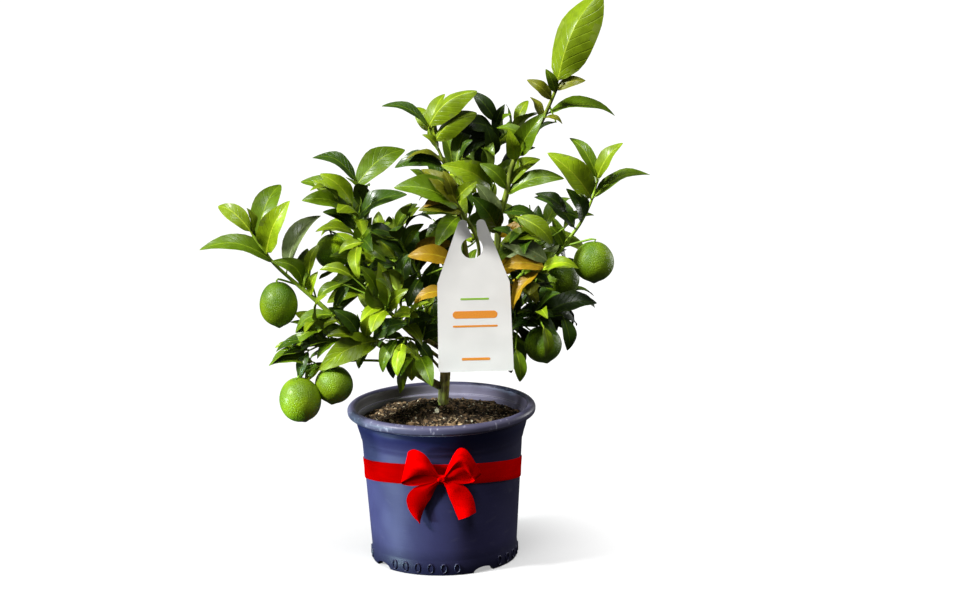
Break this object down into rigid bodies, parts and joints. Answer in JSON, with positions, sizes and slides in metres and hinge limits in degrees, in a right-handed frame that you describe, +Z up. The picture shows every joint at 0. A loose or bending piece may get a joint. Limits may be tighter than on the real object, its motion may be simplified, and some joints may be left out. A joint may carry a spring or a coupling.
{
  "type": "potted lime tree",
  "caption": "Small lime tree with green fruit in a round tapered nursery pot, with a ribbon and bow round the pot and a blank hang tag on a front stem.",
  "frame": {"origin": "centre of the pot's flat underside, on the ground", "axes": "+Z up; -Y towards the side with the bow and the tag; +X to the right as seen from that side"},
  "size_m": [0.4999, 0.2943, 0.6503],
  "materials": {
    "navy_plastic": "smooth, slightly glossy moulded plastic",
    "potting_mix": "loose damp bark and peat",
    "red_satin": "satin",
    "white_card": "matte coated sheet",
    "bark": "rough",
    "lime_foliage": "waxy, slightly glossy"
  },
  "bodies": {
    "root": {"pot": "navy_plastic", "soil": "potting_mix", "ribbon_band": "red_satin", "bow_knot": "red_satin", "bow_loop_left": "red_satin", "bow_loop_right": "red_satin", "bow_tail_left": "red_satin", "bow_tail_right": "red_satin", "tag": "white_card", "trunk": "bark", "bough_left": "bark", "bough_left_low": "bark", "bough_fruit_pair": "bark", "bough_upper_left": "bark", "bough_mid_left": "bark", "bough_inner_left": "bark", "bough_low_front": "bark", "bough_top": "bark", "bough_leader": "bark", "bough_top_right": "bark", "bough_front": "bark", "bough_right": "bark", "bough_right_low": "bark", "bough_low_right": "bark", "bough_inner_right": "bark", "bough_back_left": "bark", "bough_back_right": "bark", "bough_back_top": "bark", "bough_back_low": "bark", "foliage_left": "lime_foliage", "foliage_left_low": "lime_foliage", "foliage_fruit_pair": "lime_foliage", "foliage_upper_left": "lime_foliage", "foliage_mid_left": "lime_foliage", "foliage_inner_left": "lime_foliage", "foliage_low_front": "lime_foliage", "foliage_top": "lime_foliage", "foliage_leader": "lime_foliage", "foliage_top_right": "lime_foliage", "foliage_front": "lime_foliage", "foliage_right": "lime_foliage", "foliage_right_low": "lime_foliage", "foliage_low_right": "lime_foliage", "foliage_inner_right": "lime_foliage", "foliage_back_left": "lime_foliage", "foliage_back_right": "lime_foliage", "foliage_back_top": "lime_foliage", "foliage_back_low": "lime_foliage"}
  },
  "joints": []
}
